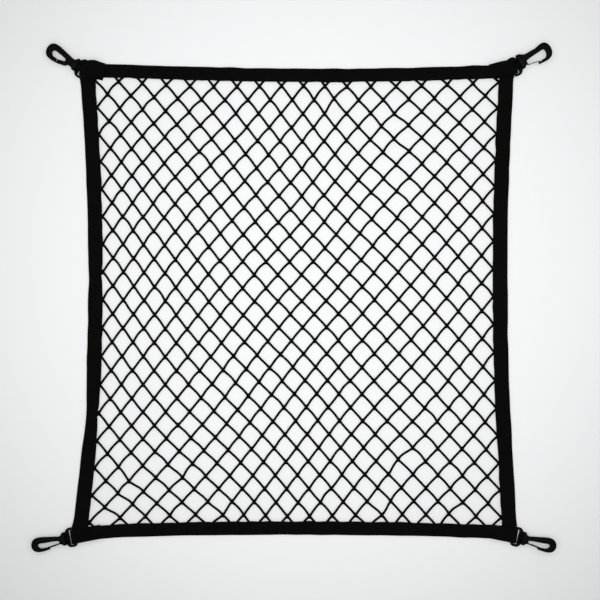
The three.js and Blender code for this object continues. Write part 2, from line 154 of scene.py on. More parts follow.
class WebbingProperties(bpy.types.PropertyGroup):
    tape: FloatProperty(name="Tape", description="Thickness of one layer of a band",
                        default=0.9 * MM, min=0.3 * MM, max=2 * MM, unit="LENGTH", precision=5)
    strap: FloatProperty(name="Strap", description="Thickness of a loop's webbing",
                         default=1.1 * MM, min=0.3 * MM, max=2 * MM, unit="LENGTH", precision=5)
    stitch: FloatProperty(name="Stitch", description="Pitch of the stitching",
                          default=4 * MM, min=1 * MM, max=10 * MM, unit="LENGTH", precision=5)
    thread: FloatProperty(name="Thread", description="Diameter of the sewing thread",
                          default=0.55 * MM, min=0.2 * MM, max=1.5 * MM, unit="LENGTH", precision=5)
    colour: FloatVectorProperty(name="Webbing colour", description="Colour of the bands and loops",
                                size=3, default=(0.002, 0.002, 0.0019), min=0, max=1, subtype="COLOR")


class FittingProperties(bpy.types.PropertyGroup):
    edge: FloatProperty(name="Edge", description="Rounding of the hooks' edges",
                        default=1.1 * MM, min=0.2 * MM, max=2 * MM, unit="LENGTH", precision=5)
    colour: FloatVectorProperty(name="Plastic colour", description="Colour of the hooks and eyes",
                                size=3, default=(0.0015, 0.0015, 0.0017), min=0, max=1, subtype="COLOR")


class StageProperties(bpy.types.PropertyGroup):
    view_width: FloatProperty(name="View width", description="Width that the camera takes in",
                              default=0.804, min=0.1, max=5, unit="LENGTH")
    lens: FloatProperty(name="Lens", description="Focal length of the camera", default=135,
                        min=20, max=300, unit="CAMERA")
    floor: FloatVectorProperty(name="Floor", description="Colour of the floor", size=3,
                               default=(0.9, 0.905, 0.91), min=0, max=1, subtype="COLOR")


# ---- Shape of the net ----
def clamp(value, low=0.0, high=1.0):
    return max(low, min(high, value))


def lerp(a, b, t):
    return a + (b - a) * t


def smoothstep(value, low, high):
    t = clamp((value - low) / (high - low))
    return t * t * (3 - 2 * t)


def hump(value, middle, spread):
    return math.exp(-((value - middle) / spread) ** 2)


def direction(turn):
    return Vector((math.cos(math.radians(turn)), math.sin(math.radians(turn))))


def through(values, place):
    """A smooth curve through evenly spaced values, one unit of place apart."""
    last = len(values) - 1
    cell = int(clamp(math.floor(place), 0, last - 1))
    t = place - cell

    def slope(i):
        low, high = max(i - 1, 0), min(i + 1, last)
        return (values[high] - values[low]) / (high - low)

    start, stop = values[cell], values[cell + 1]
    if t < 0:
        return start + slope(cell) * t
    if t > 1:
        return stop + slope(cell + 1) * (t - 1)
    bend = t * t * (3 - 2 * t)
    return lerp(start, stop, bend) + slope(cell) * t * (1 - t) ** 2 - slope(cell + 1) * t * t * (1 - t)


def centre(side, along):
    return through(CENTRE[side], (along - FIRST_STATION) / STATION_PITCH)


def pull(even_x, even_y):
    """Takes a point of the even mesh to where the pulled mesh has it."""
    p, q = even_x / (HALF_ROWS * HALF_PITCH_X), even_y / (HALF_ROWS * HALF_PITCH_Y)

    def shift(table):
        return through([through(row, (p + 1) / 2 * (len(row) - 1)) for row in table], 2 * q + 2)

    left = centre("left", even_y) + SIDE_WIDTH / 2
    right = centre("right", even_y) - SIDE_WIDTH / 2
    x = lerp(left, right, (p + 1) / 2) + shift(PULL_RIGHT)
    y = lerp(centre("bottom", x), centre("top", x), (q + 1) / 2) + shift(PULL_UP)
    for tug_x, tug_y, right_by, up_by, reach in TUGS:
        felt = math.exp(-((even_x - tug_x) ** 2 + (even_y - tug_y) ** 2) / reach ** 2)
        x, y = x + right_by * felt, y + up_by * felt
    return Vector((x, y))


def inside(x, y):
    """How far a point lies inside the bands' inner edges, less than nothing within the bands."""
    across = min(x - centre("left", y), centre("right", y) - x) - SIDE_WIDTH / 2
    length = min(y - centre("bottom", x), centre("top", x) - y) - END_WIDTH / 2
    return min(across, length)


# ---- Making pieces ----
def new_object(name, mesh):
    piece = bpy.data.objects.new(name, mesh)
    bpy.context.collection.objects.link(piece)
    return piece


def finish_bmesh(name, bm, smooth_angle=40):
    """A mesh object from a bmesh: faces out, smooth but for edges sharper than the angle."""
    bmesh.ops.recalc_face_normals(bm, faces=bm.faces)
    limit = math.radians(smooth_angle)
    for face in bm.faces:
        face.smooth = True
    for edge in bm.edges:
        edge.smooth = edge.calc_face_angle(0) < limit
    mesh = bpy.data.meshes.new(name)
    bm.to_mesh(mesh)
    bm.free()
    return new_object(name, mesh)


def final_mesh(piece):
    """A new mesh with the shape that a piece's modifiers give it."""
    shape = piece.evaluated_get(bpy.context.evaluated_depsgraph_get())
    return bpy.data.meshes.new_from_object(shape)


def settled(piece):
    """Applies a piece's modifiers, so that its mesh holds its final shape."""
    mesh = final_mesh(piece)
    if not mesh.polygons:
        raise RuntimeError(f"{piece.name} came out empty")
    piece.modifiers.clear()
    old = piece.data
    piece.data = mesh
    if isinstance(old, bpy.types.Mesh):
        bpy.data.meshes.remove(old)
    return piece


RIM_SHARE = 0.3        # rounding of a sheet's rim, as a share of its thickness


def sheet_piece(name, rows, columns, place, lay_uv, thickness, cuts=()):
    """A sheet of webbing: a grid laid out by place(s, t), cut off by planes and given its thickness.
    s and t run from 0 to 1, and lay_uv(s, t) is the same point on the flat tape, in millimetres."""
    bm = bmesh.new()
    flat = bm.loops.layers.uv.new("Tape")
    bmesh.ops.create_grid(bm, x_segments=rows, y_segments=columns, size=0.5)
    spots = {vert: (vert.co.x + 0.5, vert.co.y + 0.5) for vert in bm.verts}
    for face in bm.faces:
        for loop in face.loops:
            loop[flat].uv = Vector(lay_uv(*spots[loop.vert])) * MM
    for vert, spot in spots.items():
        vert.co = Vector(place(*spot)) * MM
    for point, normal in cuts:
        everything = bm.verts[:] + bm.edges[:] + bm.faces[:]
        bmesh.ops.bisect_plane(bm, geom=everything, plane_co=Vector(point) * MM,
                               plane_no=Vector(normal), clear_outer=True)
    piece = finish_bmesh(name, bm, smooth_angle=180)
    wall = piece.modifiers.new("Thickness", "SOLIDIFY")
    wall.thickness = thickness
    wall.offset = 0
    rim = piece.modifiers.new("Soft rim", "BEVEL")
    rim.width = thickness * RIM_SHARE
    rim.segments = 2
    rim.limit_method = "ANGLE"
    rim.angle_limit = math.radians(60)
    return settled(piece)


# ---- Materials ----
class Shader:
    """A material's node tree, with short calls to add to it."""

    def __init__(self, name, colour, roughness, specular=0.5):
        self.material = bpy.data.materials.new(name)
        self.material.use_nodes = True
        self.material.diffuse_color = (*colour, 1)
        self.tree = self.material.node_tree
        self.surface = self.tree.nodes["Principled BSDF"]
        self.surface.inputs["Base Color"].default_value = (*colour, 1)
        self.surface.inputs["Roughness"].default_value = roughness
        self.surface.inputs["Specular IOR Level"].default_value = specular

    def link(self, value, socket):
        if isinstance(value, bpy.types.NodeSocket):
            self.tree.links.new(value, socket)
        else:
            socket.default_value = value

    def node(self, kind, **settings):
        made = self.tree.nodes.new(kind)
        for key, value in settings.items():
            setattr(made, key, value)
        return made

    def math(self, operation, *values):
        made = self.node("ShaderNodeMath", operation=operation)
        for value, socket in zip(values, made.inputs):
            self.link(value, socket)
        return made.outputs[0]

    def coordinate(self, name):
        return self.node("ShaderNodeTexCoord").outputs[name]

    def parts(self, vector):
        made = self.node("ShaderNodeSeparateXYZ")
        self.link(vector, made.inputs[0])
        return made.outputs

    def noise(self, vector, scale, detail=3):
        made = self.node("ShaderNodeTexNoise")
        self.link(vector, made.inputs["Vector"])
        made.inputs["Scale"].default_value = scale
        made.inputs["Detail"].default_value = detail
        return made.outputs["Fac"]

    def wave(self, value, pitch):
        """A sine of value from 0 to 1, one turn for each pitch."""
        turned = self.math("MULTIPLY", value, 2 * math.pi / pitch)
        return self.math("MULTIPLY_ADD", self.math("SINE", turned), 0.5, 0.5)

    def between(self, value, low, high, from_min=0.0, from_max=1.0):
        made = self.node("ShaderNodeMapRange")
        for number, socket in zip((value, from_min, from_max, low, high), made.inputs):
            self.link(number, socket)
        return made.outputs[0]

    def shade(self, value, dark, light):
        made = self.node("ShaderNodeMix", data_type="RGBA")
        self.link(value, made.inputs["Factor"])
        made.inputs["A"].default_value = (*dark, 1)
        made.inputs["B"].default_value = (*light, 1)
        self.tree.links.new(made.outputs["Result"], self.surface.inputs["Base Color"])

    def relief(self, height, depth, strength=1.0):
        made = self.node("ShaderNodeBump")
        made.inputs["Strength"].default_value = strength
        made.inputs["Distance"].default_value = depth
        self.tree.links.new(height, made.inputs["Height"])
        self.tree.links.new(made.outputs[0], self.surface.inputs["Normal"])

    def set(self, name, value):
        self.link(value, self.surface.inputs[name])


def tint(colour, factor):
    return tuple(channel * factor for channel in colour)


def known(name, make):
    """The material of this name, made the first time that it is asked for."""
    return bpy.data.materials.get(name) or make(name)


def cord_material(name):
    """Laid cord: its strands wind round it, with a little fuzz and painted shade in the grooves between
    them.
    """
    colour = bpy.context.scene.cargo_mesh.colour
    shader = Shader(name, colour, roughness=0.8, specular=0.03)
    around = shader.parts(shader.node("ShaderNodeAttribute", attribute_name="around").outputs["Vector"])
    along = shader.node("ShaderNodeAttribute", attribute_name="along").outputs["Fac"]
    angle = shader.math("ARCTAN2", around[1], around[0])
    strands, lay = 3, 7 * MM
    winding = shader.math("ADD", shader.math("MULTIPLY", angle, strands),
                          shader.math("MULTIPLY", along, 2 * math.pi * strands / lay))
    strand = shader.math("MULTIPLY_ADD", shader.math("SINE", winding), 0.5, 0.5)
    fuzz = shader.noise(shader.coordinate("Object"), scale=2500, detail=2)
    height = shader.math("ADD", shader.math("POWER", strand, 0.6), shader.math("MULTIPLY", fuzz, 0.35))
    shader.relief(height, depth=0.22 * MM, strength=0.8)
    # Painted shade and light: the base colour is darker in the grooves between the strands and lighter on
    # their crests, by the same wave as the relief, times the fuzz's tone that varies at random.
    shader.shade(shader.math("MULTIPLY", strand, fuzz), tint(colour, 0.55), tint(colour, 1.9))
    return shader.material


def webbing_material(name):
    """Woven tape: a fine herringbone over the whole tape, by the tape's own map."""
    colour = bpy.context.scene.cargo_webbing.colour
    shader = Shader(name, colour, roughness=0.85, specular=0.03)
    tape = shader.parts(shader.node("ShaderNodeUVMap", uv_map="Tape").outputs[0])
    along, across = tape[0], tape[1]
    chevron = shader.math("PINGPONG", across, 3.2 * MM)
    rib = shader.wave(shader.math("ADD", along, chevron), pitch=1.5 * MM)
    warp = shader.wave(across, pitch=0.8 * MM)
    weave = shader.math("MULTIPLY", shader.math("POWER", rib, 0.7),
                        shader.math("MULTIPLY_ADD", warp, 0.5, 0.5))
    worn = shader.noise(shader.coordinate("Object"), scale=45, detail=4)
    fuzz = shader.noise(shader.coordinate("Object"), scale=1800, detail=2)
    height = shader.math("ADD", weave, shader.math("MULTIPLY", fuzz, 0.3))
    shader.relief(height, depth=0.2 * MM, strength=0.9)
    # Painted shade and light: the base colour follows the weave's relief, darker in its grooves and lighter
    # on its ribs, times the worn noise's tone that varies at random.
    light = shader.math("MULTIPLY", shader.math("MULTIPLY_ADD", weave, 0.7, 0.3),
                        shader.between(worn, low=0.4, high=1.3))
    shader.shade(light, tint(colour, 0.5), tint(colour, 2.2))
    shader.set("Roughness", shader.between(fuzz, low=0.75, high=0.95))
    return shader.material


def thread_material(name):
    """Twisted sewing thread, a little glossier than the tape that it is sewn into, with painted shade in its
    twist's grooves.
    """
    colour = tint(bpy.context.scene.cargo_webbing.colour, 1.3)
    shader = Shader(name, colour, roughness=0.55, specular=0.05)
    place = shader.parts(shader.coordinate("Object"))
    twist = shader.wave(shader.math("ADD", place[0], place[1]), pitch=0.5 * MM)
    shader.relief(twist, depth=0.08 * MM)
    # Painted shade and light: the base colour follows the twist's relief, darker in its grooves and lighter
    # on its crests.
    shader.shade(twist, tint(colour, 0.7), tint(colour, 1.5))
    return shader.material


def plastic_material(name):
    """Moulded nylon: satin black with a fine grain and small scuffs."""
    colour = bpy.context.scene.cargo_fittings.colour
    shader = Shader(name, colour, roughness=0.42, specular=0.03)
    place = shader.coordinate("Object")
    grain = shader.noise(place, scale=3000, detail=2)
    scuff = shader.noise(place, scale=220, detail=5)
    height = shader.math("ADD", grain, shader.math("MULTIPLY", scuff, 0.6))
    shader.relief(height, depth=0.03 * MM, strength=0.5)
    shader.shade(scuff, tint(colour, 0.7), tint(colour, 1.7))
    shader.set("Roughness", shader.between(scuff, low=0.36, high=0.56, from_min=0.3, from_max=0.7))
    return shader.material


def dress(piece, body, material, slot, *replaced):
    """Gives a piece its material, the body that it rides and the nodes that it replaces. The slot is not
    used.
    """
    piece.data.materials.clear()
    piece.data.materials.append(material)
    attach(piece, body)
    if replaced:
        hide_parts(*replaced)


# ---- Mesh ----
CORD_SIDES = 8
BAR_STEPS = (0, 0.08, 0.2, 0.4, 0.6, 0.8, 0.92)   # places along a bar that get a ring of the cord
TUCK = 6               # length of cord inside the bands past the last joint
TOP_TUCK = 9           # how far the last row of joints lies within the top band
EDGE_ROOM = 2.25       # height of the cord's middle between a band's two layers
EDGE_SLOPE = 30        # the mesh comes down to the surface over this distance
ARCH_SHARE = {1: 0.7, -1: 1.3}   # share of the arch that strands to the right and to the left have
STIFFNESS = (0.75, 1.15)         # least and greatest hold of a cord's angle at a joint
SWAY = 0.42            # how far a cord bows sideways at random
CROSSING_RISE = 0.5    # at a joint one strand rises over the other by this share of its radius
JOINT_SWELL = 0.16     # and both swell by this share of it
JOINT_REACH = 2.4      # they do so over this length
JOINT_RISE = 0.3       # a joint's middle lies above the cords' by this share of their radius
JOINT_TILT = 0.15      # share of the mesh's slant that a joint follows
JOINT_SIZE = (1.5, 1.3)          # half width and half height of a joint, in radii of the cord
JOINT_FACES = (8, 6)             # segments and rings of a joint


def knots():
    """Joints of the mesh by row and column, counted in half pitches from the middle of the net."""
    found = {}
    for row in range(-HALF_ROWS, HALF_ROWS + 1):
        for column in range(-HALF_ROWS, HALF_ROWS + 1):
            if (row + column) % 2 == 1:
                point = pull(column * HALF_PITCH_X, row * HALF_PITCH_Y)
                if row == HALF_ROWS:
                    point.y = centre("top", point.x) - END_WIDTH / 2 + TOP_TUCK
                found[row, column] = point
    return found


def strands(joints, hand):
    """Rows of joints that one strand runs through, down the net to the right or to the left."""
    for row, column in sorted(joints, reverse=True):
        if (row + 1, column - hand) in joints:
            continue
        strand = []
        while (row, column) in joints:
            strand.append(joints[row, column])
            row, column = row - 1, column + hand
        if len(strand) > 1:
            yield strand


def cord_height(point, radius):
    """Height of a cord's middle: on the surface in the open, lifted between the bands' layers."""
    return lerp(EDGE_ROOM, radius, smoothstep(inside(*point), 0, EDGE_SLOPE))


def strand_points(strand, hand, radius, settings, wander):
    """The smooth path of one strand as (x, y, z, radius), thicker where it runs through a joint."""
    arch = settings.arch * ARCH_SHARE[hand]
    flat, steep = (Vector((hand * math.sin(lean), -math.cos(lean)))
                   for lean in (settings.lean + arch, settings.lean - arch))
    over = CROSSING_RISE * radius if hand > 0 else 0
    path = []
    turns = [(flat * wander.uniform(*STIFFNESS), steep * wander.uniform(*STIFFNESS)) for _ in strand]
    heading = (flat + steep) / 2
    legs = [(leave, arrive) for (leave, _), (_, arrive) in zip(turns, turns[1:])]
    for (start, stop), (leave, arrive) in zip(zip(strand, strand[1:]), legs):
        length = (stop - start).length
        bow = Vector((wander.gauss(0, SWAY), wander.gauss(0, SWAY)))
        for t in BAR_STEPS:
            spot = (2 * t**3 - 3 * t**2 + 1) * start + (3 * t**2 - 2 * t**3) * stop
            spot = spot + settings.bend * length * ((t**3 - 2 * t**2 + t) * leave + (t**3 - t**2) * arrive)
            spot = spot + math.sin(math.pi * t) * bow
            near = hump(min(t, 1 - t) * length, 0, JOINT_REACH)
            fuller = JOINT_SWELL * near * radius
            path.append((*spot, cord_height(spot, radius) + over * near + fuller, radius + fuller))
    first = strand[0] - heading * TUCK
    last = strand[-1] + heading * TUCK
    ends = [(*end, cord_height(end, radius), radius) for end in (first, last)]
    return [ends[0], *path, (*strand[-1], cord_height(strand[-1], radius), radius), ends[1]]


def geometry_group(name):
    """An empty group of geometry nodes."""
    group = bpy.data.node_groups.new(name, "GeometryNodeTree")
    for in_out in ("INPUT", "OUTPUT"):
        group.interface.new_socket("Geometry", in_out=in_out, socket_type="NodeSocketGeometry")
    return group


def cord_nodes():
    """Geometry nodes that give a line its round section and keep the way along and around it."""
    group = geometry_group("Round Cord")
    node, link = group.nodes.new, group.links.new
    line, made = node("NodeGroupInput"), node("NodeGroupOutput")
    way, circle, place = (node("GeometryNodeSplineParameter"), node("GeometryNodeCurvePrimitiveCircle"),
                          node("GeometryNodeInputPosition"))
    keep_way, keep_turn = node("GeometryNodeStoreNamedAttribute"), node("GeometryNodeStoreNamedAttribute")
    tube, smooth = node("GeometryNodeCurveToMesh"), node("GeometryNodeSetShadeSmooth")
    circle.inputs["Resolution"].default_value = CORD_SIDES
    circle.inputs["Radius"].default_value = 1
    keep_turn.data_type = "FLOAT_VECTOR"
    keep_way.inputs["Name"].default_value = "along"
    keep_turn.inputs["Name"].default_value = "around"
    tube.inputs["Fill Caps"].default_value = True
    link(line.outputs[0], keep_way.inputs["Geometry"])
    link(way.outputs["Length"], keep_way.inputs["Value"])
    link(circle.outputs["Curve"], keep_turn.inputs["Geometry"])
    link(place.outputs[0], keep_turn.inputs["Value"])
    link(keep_way.outputs[0], tube.inputs["Curve"])
    link(keep_turn.outputs[0], tube.inputs["Profile Curve"])
    link(node("GeometryNodeInputRadius").outputs[0], tube.inputs["Scale"])
    link(tube.outputs[0], smooth.inputs["Geometry"])
    link(smooth.outputs[0], made.inputs[0])
    return group


def round_cords(name, paths):
    """A mesh of round cords along paths of (x, y, z, radius)."""
    lines = bpy.data.curves.new(name + "_lines", "CURVE")
    lines.dimensions = "3D"
    for path in paths:
        spline = lines.splines.new("POLY")
        spline.points.add(len(path) - 1)
        for point, (x, y, z, radius) in zip(spline.points, path):
            point.co = (x * MM, y * MM, z * MM, 1)
            point.radius = radius * MM
    line = new_object(name + "_lines", lines)
    line.modifiers.new("Round", "NODES").node_group = cord_nodes()
    mesh = final_mesh(line)
    bpy.data.objects.remove(line)
    return new_object(name, mesh)


def copies_nodes(segments, rings):
    """Geometry nodes that put a ball on every point, with the point's own turn and size."""
    group = geometry_group("Placed Balls")
    node, link = group.nodes.new, group.links.new
    ball, place = node("GeometryNodeMeshUVSphere"), node("GeometryNodeInstanceOnPoints")
    ball.inputs["Segments"].default_value = segments
    ball.inputs["Rings"].default_value = rings
    link(node("NodeGroupInput").outputs[0], place.inputs["Points"])
    link(ball.outputs["Mesh"], place.inputs["Instance"])
    for socket, name in (("Rotation", "turn"), ("Scale", "size")):
        named = node("GeometryNodeInputNamedAttribute")
        named.data_type = "FLOAT_VECTOR"
        named.inputs["Name"].default_value = name
        link(named.outputs["Attribute"], place.inputs[socket])
    real, smooth = node("GeometryNodeRealizeInstances"), node("GeometryNodeSetShadeSmooth")
    link(place.outputs[0], real.inputs[0])
    link(real.outputs[0], smooth.inputs["Geometry"])
    link(smooth.outputs[0], node("NodeGroupOutput").inputs[0])
    return group


def placed_balls(name, places, segments, rings):
    """Long or round balls, each at a (middle, turn, size) in millimetres and radians."""
    bm = bmesh.new()
    turned, sized = (bm.verts.layers.float_vector.new(layer) for layer in ("turn", "size"))
    for middle, turn, size in places:
        vert = bm.verts.new(middle * MM)
        vert[turned], vert[sized] = turn, size * MM
    piece = finish_bmesh(name, bm)
    piece.modifiers.new("Balls", "NODES").node_group = copies_nodes(segments, rings)
    return settled(piece)


def joint_places(joints, radius, length):
    """The knotless joints, where the strands of two cords run through each other."""
    for (row, column), point in joints.items():
        above = joints.get((row + 1, column - 1), point)
        below = joints.get((row - 1, column + 1), point)
        tilt = math.atan2(above.x - below.x, max(above.y - below.y, 1)) * JOINT_TILT
        middle = Vector((*point, cord_height(point, radius) + JOINT_RISE * radius))
        size = Vector((*(radius * share for share in JOINT_SIZE), length / 2))
        yield middle, Vector((math.pi / 2, 0, -tilt)), size


class CARGO_OT_mesh(bpy.types.Operator):
    """Makes the knotless mesh from strands of round cord that run through each other"""

    bl_idname = "cargo_net.mesh"
    bl_label = "Mesh"

    def execute(self, context):
        settings = context.scene.cargo_mesh
        radius = settings.cord / MM / 2
        wander = random.Random(settings.seed)
        joints = knots()
        paths = [strand_points(strand, hand, radius, settings, wander)
                 for hand in (1, -1) for strand in strands(joints, hand)]
        laid = known("Laid cord", cord_material)
        piece = round_cords("mesh_cord", paths)
        dress(piece, "net", laid, "mesh", "net")
        places = joint_places(joints, radius, settings.joint / MM)
        dress(placed_balls("mesh_joints", places, *JOINT_FACES), "net", laid, "mesh", "net")
        cord_area = sum((Vector(a[:2]) - Vector(b[:2])).length for path in paths
                        for a, b in zip(path, path[1:])) * MM * settings.cord
        return {"FINISHED"}


# ---- Bands ----
# Section of a folded band, along its tape from the lower layer's open edge round the fold to the
# upper one's. Across is counted from the fold, or from the open edge where it is less than nothing.
BAND_SECTION = [
    # across, height of the tape's middle
    (-0.2, 0.5), (-4, 0.45), (8, 0.45), (4, 0.45), (1.8, 0.55), (0.7, 1.0), (0.45, 1.7), (0.9, 2.4),
    (2.6, 3.1), (5.5, 3.75), (-7.5, 4.1), (-4.4, 3.95), (-3, 3.7), (-1.6, 3.85), (-0.2, 3.8),
]
BAND_COLUMNS = 36
BAND_STEP = 3          # length of band for each row of its faces
FOLD_MIDDLE = 2.25     # height of the middle of the fold
CLOSED = 1 / 3         # share of its height that a side band keeps within an end band


def smooth_path(outline, steps):
    """Points along a smooth outline, each with how far along the outline it lies."""
    path = []
    for i in range(steps + 1):
        place = i / steps * (len(outline) - 1)
        spot = Vector([through(values, place) for values in zip(*outline)])
        arc = path[-1][2] + (spot - Vector(path[-1][:2])).length if path else 0
        path.append((spot.x, spot.y, arc))
    return path


def section(width):
    """Points across a band's tape: how far from the fold, how high, and how far along the tape."""
    outline = [(across + width if across < 0 else across, up) for across, up in BAND_SECTION]
    return smooth_path(outline, BAND_COLUMNS)


def band_ends(side):
    """Where a band starts and ends along it, before its corners are cut off."""
    if side in ("top", "bottom"):
        return -END_REACH, END_REACH
    low, high = centre("bottom", CENTRE[side][0]), centre("top", CENTRE[side][-1])
    return low - END_WIDTH / 4, high + END_WIDTH / 4


def band_state(side, along):
    """A band's height at a place along it, and how far its fold is open."""
    if side in ("top", "bottom"):
        return CORNER_LIFT * smoothstep(abs(along), *END_RISE), 1.0
    start, stop = band_ends(side)
    reach = UNDER_END + 1
    closed = 1 - smoothstep(min(along - start, stop - along), reach, reach + CLOSING)
    return CORNER_LIFT * closed, lerp(1.0, CLOSED, closed)


def cut_planes(side):
    """Planes that cut a band's corners off beside the strap eyes: square to the eye for an end band,
    and slanting round the eye for a side band."""
    for corner in CORNERS.values():
        axis, foot = direction(corner["turn"]), Vector(corner["foot"])
        if side in ("top", "bottom"):
            yield Vector((*(foot + axis * BAND_CUT), 0)), Vector((*axis, 0))
        else:
            beside = axis.orthogonal() * (-1 if axis.x * foot.y > 0 else 1)
            yield (Vector((*(foot + axis * SIDE_CUT[0] + beside * SIDE_CUT[1]), 0)),
                   Vector((*(axis * SIDE_SLANT[0] - beside * SIDE_SLANT[1]), 0)))


# Pitch and size of a band's ripples: of its outer edge, its inner edge and its upper layer's height.
RIPPLES = [(17, 0.22), (11, 0.3), (13, 0.22)]
RIPPLE_START = -320
RIPPLE_VALUES = 80


class Ripple:
    """Small unevenness along a band, drawn once and then smooth."""

    def __init__(self, seed, pitch, size):
        draw = random.Random(seed)
        self.pitch = pitch
        self.values = [draw.gauss(0, size) for _ in range(RIPPLE_VALUES)]

    def __call__(self, along):
        return through(self.values, (along - RIPPLE_START) / self.pitch)


# Where the left band is twisted a little and draws in: along it, over what length, by how much, and
# how far its fold lifts.
PINCHES = [(-158, 36, 4.2, 1.1), (26, 18, 2.2, 0.4)]
SWELL = 0.5            # the soft bands bulge this much over their width


def band_point(side, width, column, along, ripples):
    """One point of a band's tape in the net's frame."""
    across, up, _ = column
    lift, squeeze = band_state(side, along)
    outer, inner, puff = (ripple(along) for ripple in ripples)
    share = across / width
    if side in ("left", "right"):
        start, stop = band_ends(side)
        outer -= FLARE[side, -1] * smoothstep(start + FLARE_START - along, 0, FLARE_LENGTH)
        outer -= FLARE[side, 1] * smoothstep(along - stop + FLARE_START, 0, FLARE_LENGTH)
    for middle, spread, narrowing, rise in PINCHES if side == "left" else ():
        twisted = hump(along, middle, spread)
        outer += narrowing * twisted / 2
        inner -= narrowing * twisted / 2
        lift += rise * twisted * (1 - share)
    out = centre(side, along) + INWARD[side] * (across - width / 2 + lerp(outer, inner, share))
    raised = puff * math.sin(math.pi * clamp(share)) if up > FOLD_MIDDLE else 0
    height = lift + FOLD_MIDDLE + (up - FOLD_MIDDLE) * squeeze + raised * squeeze
    return (out, along, height) if side in ("left", "right") else (along, out, height)


def band_ripples(side):
    seed = list(CENTRE).index(side) * 10
    return [Ripple(seed + i, pitch, size) for i, (pitch, size) in enumerate(RIPPLES, 1)]


def band_width(side):
    return SWELL + (END_WIDTH if side in ("top", "bottom") else SIDE_WIDTH)


class CARGO_OT_bands(bpy.types.Operator):
    """Folds the four webbing bands over the mesh's edges"""

    bl_idname = "cargo_net.bands"
    bl_label = "Bands"

    def execute(self, context):
        for side in CENTRE:
            width = band_width(side)
            columns = section(width)
            start, stop = band_ends(side)
            ripples = band_ripples(side)

            def place(s, t):
                column = columns[round(t * BAND_COLUMNS)]
                return band_point(side, width, column, lerp(start, stop, s), ripples)

            def tape(s, t):
                return lerp(start, stop, s), columns[round(t * BAND_COLUMNS)][2]

            rows = round((stop - start) / BAND_STEP)
            piece = sheet_piece(f"band_webbing_{side}", rows, BAND_COLUMNS, place, tape,
                                context.scene.cargo_webbing.tape, cut_planes(side))
            dress(piece, "net", known("Woven webbing", webbing_material), "webbing", f"band_{side}")
        return {"FINISHED"}


# ---- Loops ----
# The strap's path from its lower end, up through the eye's slot and over the eye's bar: its distance
# from the fold's edge and its height. The upper layer goes on to where the loop stops.
LOOP_SECTION = [
    # along, height of the strap's middle
    (30, 0.6), (20, 0.6), (12, 0.6), (8, 0.6), (4.6, 0.75), (2.6, 1.3), (1.5, 2.4), (1.05, 3.8),
    (0.75, 5.2), (0.65, 6.2), (1.3, 7.1), (3.2, 7.5), (7, 7.3),
]
LOOP_ROWS = 56
LOOP_COLUMNS = 12
SLOT_PLACE = -16.9     # the strap passes the eye here, along the swivel axis from the hook's foot
LOOP_END_UP = 6.75     # height of the strap's middle at the end of the upper layer
OVER_EYE = (4.2, 6.4)  # between these heights the strap turns from the slot's direction to the fold's
BULGE = (0.5, 0.32)    # where the upper layer bulges sideways and how widely, in shares of its length
CROWN = 0.3            # the upper layer's middle stands this much over its edges
CROWN_START = (4, 6)   # which comes in between these heights


def loop_path(corner):
    """Points along the strap: along it, its height, and how far along the tape."""
    length = (Vector(corner["end"]) - Vector(corner["fold"])).length
    along, up = LOOP_SECTION[-1]
    upper = [(lerp(along, length, share), lerp(up, LOOP_END_UP, share)) for share in (0.25, 0.5, 0.75, 1)]
    return smooth_path(LOOP_SECTION + upper, LOOP_ROWS), length


def loop_point(corner, along, up, offset, length):
    """A point of the strap. Above the eye it lies along the fold, and below it squares up to the slot."""
    def beside(spot, turn):
        return Vector(spot) - direction(corner[turn]).orthogonal() * offset

    fold, end, under = (beside(corner[spot], spot + "_turn") for spot in ("fold", "end", "under"))
    slot = beside(Vector(corner["foot"]) + direction(corner["turn"]) * SLOT_PLACE, "turn")
    share = along / length
    above = fold.lerp(end, share) + Vector((0, corner["bulge"] * hump(share, *BULGE)))
    below = slot.lerp(under, (along - 1) / (length - 1))
    return (*below.lerp(above, smoothstep(up, *OVER_EYE)), up)


class CARGO_OT_loops(bpy.types.Operator):
    """Wraps a webbing loop round each strap eye's bar and over its corner"""

    bl_idname = "cargo_net.loops"
    bl_label = "Loops"

    def execute(self, context):
        for name, corner in CORNERS.items():
            rows, length = loop_path(corner)

            def place(s, t):
                along, up, _ = rows[round(s * LOOP_ROWS)]
                offset = (t - 0.5) * LOOP_WIDTH
                crown = CROWN * (1 - (2 * t - 1) ** 2) - CROWN / 2
                return loop_point(corner, along, up + crown * smoothstep(up, *CROWN_START), offset, length)

            def tape(s, t):
                return rows[round(s * LOOP_ROWS)][2], t * LOOP_WIDTH

            piece = sheet_piece(f"loop_strap_{name}", LOOP_ROWS, LOOP_COLUMNS, place, tape,
                                context.scene.cargo_webbing.strap)
            dress(piece, "net", known("Woven webbing", webbing_material), "webbing", f"loop_{name}")
        return {"FINISHED"}


# ---- Stitching ----
SEAM_INSET = 3         # the seam's distance from a band's open edge
SEAM_LENGTH = 0.72     # share of the pitch that a stitch shows
SEAM_POINTS = 200      # steps along a band's seam
SEAM_TOP = 3.7         # height of the tape's middle under a band's upper seam
SEAM_BOTTOM = 0.2      # height of its lower seam
SEAM_SUNK = 0.05       # the upper seam's stitches lie this deep in the tape
SEAM_MARGIN = 1.5      # seams stop this far short of the cut corners
STITCH_FACES = (6, 4)  # segments and rings of a stitch
LOOP_SEAM_NEAR = 10    # a loop's seams start this far from its fold
LOOP_SEAM_FAR = 3      # and stop this far from the strap's end
LOOP_SEAM_SIDE = 2.5   # and this far from its sides
LOOP_SEAM_UP = 7.35    # height of a loop's seams
LOOP_PITCH = 0.75      # pitch of a loop's stitches, as a share of the bands'


